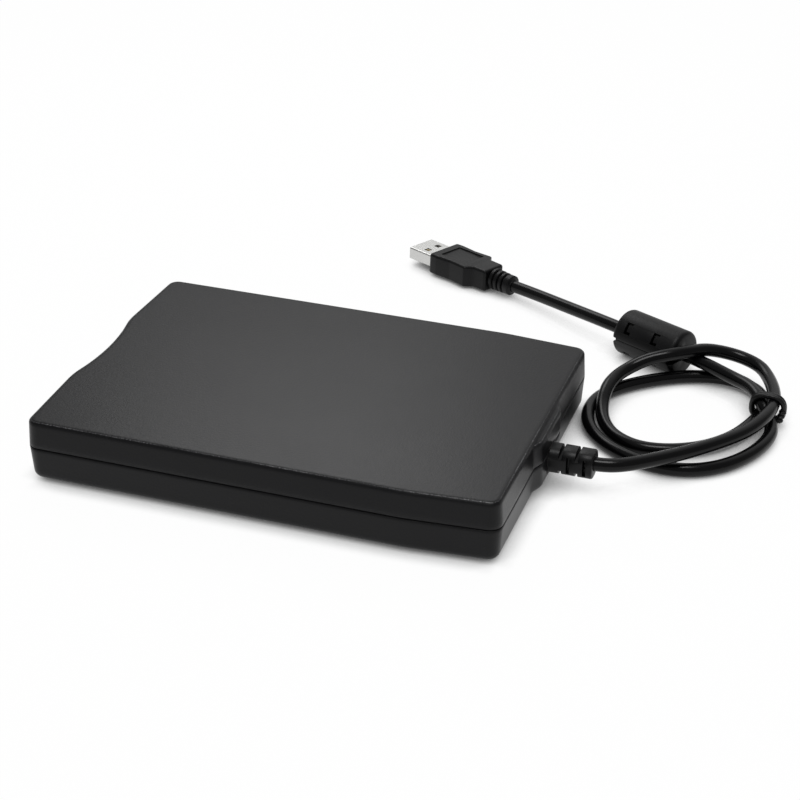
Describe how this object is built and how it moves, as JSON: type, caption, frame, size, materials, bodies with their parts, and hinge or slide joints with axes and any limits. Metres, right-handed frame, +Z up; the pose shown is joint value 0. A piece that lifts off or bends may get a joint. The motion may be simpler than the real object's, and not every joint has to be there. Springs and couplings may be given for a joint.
{
  "type": "external floppy disk drive",
  "caption": "Flat slot-loading external disk drive: two-shell case, hinged slot flap, eject button, drive mechanism and a tied USB cable with clip-on ferrite.",
  "frame": {"origin": "middle of the case, cable left out, on the surface that its feet stand on", "axes": "+Y from the disk slot to the cable outlet, +Z up, +X to the right seen from behind the slot looking along +Y"},
  "size_m": [0.1933, 0.2126, 0.0205],
  "materials": {
    "case_shell": "fine-grained satin",
    "bezel_plastic": "fine-grained satin",
    "flap_plastic": "satin",
    "button_plastic": "semi-gloss",
    "clear_acrylic": "clear",
    "foot_rubber": "matt",
    "spring_steel": "drawn wire",
    "zinc_steel": "zinc-coated sheet",
    "rotor_steel": "turned and pressed",
    "ground_steel": "ground",
    "motor_can": "plated can",
    "bronze": "sintered",
    "copper_wire": "enamelled winding",
    "circuit_board": "solder resist",
    "chip_epoxy": "matt",
    "nylon": "moulded",
    "carriage_resin": "glass-filled",
    "head_ceramic": "polished",
    "ferrite_ceramic": "sintered",
    "cable_jacket": "semi-gloss vinyl",
    "cable_mould": "soft matt vinyl",
    "tie_sleeve": "soft",
    "ferrite_case": "fine-grained matt",
    "nickel_plate": "bright nickel",
    "plug_insulator": "moulded",
    "gold_contact": "gilded"
  },
  "bodies": {
    "case": {"bottom_cover": "case_shell", "top_cover": "case_shell", "rubber_feet": "foot_rubber", "front_bezel": "bezel_plastic", "door_spring": "spring_steel", "led_light_pipe": "clear_acrylic", "chassis": "zinc_steel", "slide_springs": "spring_steel", "latch_spring": "spring_steel", "motor_board": "circuit_board", "stator_coils": "copper_wire", "spindle_bearing": "bronze", "guide_rods": "ground_steel", "stepper_motor": "motor_can", "control_board": "circuit_board", "control_parts": "chip_epoxy", "sensor_switches": "nylon", "lamp": "clear_acrylic", "usb_board": "circuit_board", "usb_board_parts": "chip_epoxy", "cable_header": "nylon", "flat_cable": "nylon", "strain_relief": "cable_mould", "cable_lead": "cable_jacket", "cable_coil": "cable_jacket", "cable_tail": "cable_jacket", "cable_tie": "tie_sleeve", "ferrite_lower_case": "ferrite_case", "ferrite_lower_core": "ferrite_ceramic", "plug_overmold": "cable_mould", "plug_shell": "nickel_plate", "plug_tongue": "plug_insulator", "plug_contacts": "gold_contact"},
    "slide": {"eject_slide": "zinc_steel", "eject_button": "button_plastic"},
    "carrier": {"disk_carrier": "zinc_steel"},
    "lever": {"latch_lever": "nylon"},
    "flap": {"door_flap": "flap_plastic"},
    "spindle": {"spindle_rotor": "rotor_steel", "rotor_magnet": "ferrite_ceramic"},
    "carriage": {"head_carriage": "carriage_resin", "lower_head": "head_ceramic", "arm_pivot_pin": "ground_steel"},
    "arm": {"upper_head_arm": "carriage_resin", "upper_head": "head_ceramic"},
    "screw": {"lead_screw": "ground_steel"},
    "disk_pin": {"disk_sensor_pin": "nylon"},
    "protect_pin": {"write_protect_pin": "nylon"},
    "ferrite_lid": {"ferrite_upper_case": "ferrite_case", "ferrite_upper_core": "ferrite_ceramic"}
  },
  "joints": [
    {"name": "eject_slide_travel", "type": "slide", "parent": "case", "child": "slide", "axis": [0, -1, 0], "range_m": [0, 0.0055], "deforming": ["slide_springs"]},
    {"name": "carrier_drop", "type": "slide", "parent": "case", "child": "carrier", "axis": [0, 0, -1], "range_m": [0, 0.0024]},
    {"name": "latch_lever_turn", "type": "hinge", "parent": "case", "child": "lever", "pos_m": [-0.038, 0.03, 0.0106], "axis": [0, 0, 1], "range_deg": [0, 50], "stiffness_Nm_per_rad": 0.004, "springref_deg": -17.19, "deforming": ["latch_spring"]},
    {"name": "door_flap_hinge", "type": "hinge", "parent": "case", "child": "flap", "pos_m": [0, -0.0685, 0.0149], "axis": [1, 0, 0], "range_deg": [0, 88], "stiffness_Nm_per_rad": 0.0006, "springref_deg": -22.92, "deforming": ["door_spring"]},
    {"name": "spindle_spin", "type": "hinge", "parent": "case", "child": "spindle", "pos_m": [0, -0.02, 0.007], "axis": [0, 0, 1], "continuous": true},
    {"name": "head_carriage_travel", "type": "slide", "parent": "case", "child": "carriage", "axis": [0, -1, 0], "range_m": [0, 0.0148]},
    {"name": "lead_screw_turn", "type": "hinge", "parent": "case", "child": "screw", "pos_m": [0.019, 0.035, 0.0094], "axis": [0, 1, 0], "range_deg": [0, 1421]},
    {"name": "upper_head_arm_hinge", "type": "hinge", "parent": "carriage", "child": "arm", "pos_m": [0, 0.046, 0.011], "axis": [1, 0, 0], "range_deg": [0, 12.01]},
    {"name": "disk_sensor_press", "type": "slide", "parent": "case", "child": "disk_pin", "axis": [0, 0, -1], "range_m": [0, 0.0013], "stiffness_N_per_m": 60, "springref_m": -0.0005},
    {"name": "write_protect_press", "type": "slide", "parent": "case", "child": "protect_pin", "axis": [0, 0, -1], "range_m": [0, 0.0013], "stiffness_N_per_m": 60, "springref_m": -0.0005},
    {"name": "ferrite_lid_hinge", "type": "hinge", "parent": "case", "child": "ferrite_lid", "pos_m": [-0.08675, 0.10091, 0.0077], "axis": [-0.4305, -0.9026, 0], "range_deg": [0, 100]}
  ],
  "couplings": [
    {"joint": "carrier_drop", "follows": "eject_slide_travel", "ratio": 0.43636},
    {"joint": "upper_head_arm_hinge", "follows": "eject_slide_travel", "rad_per_m": 38.08},
    {"joint": "lead_screw_turn", "follows": "head_carriage_travel", "rad_per_m": 1675.5}
  ]
}
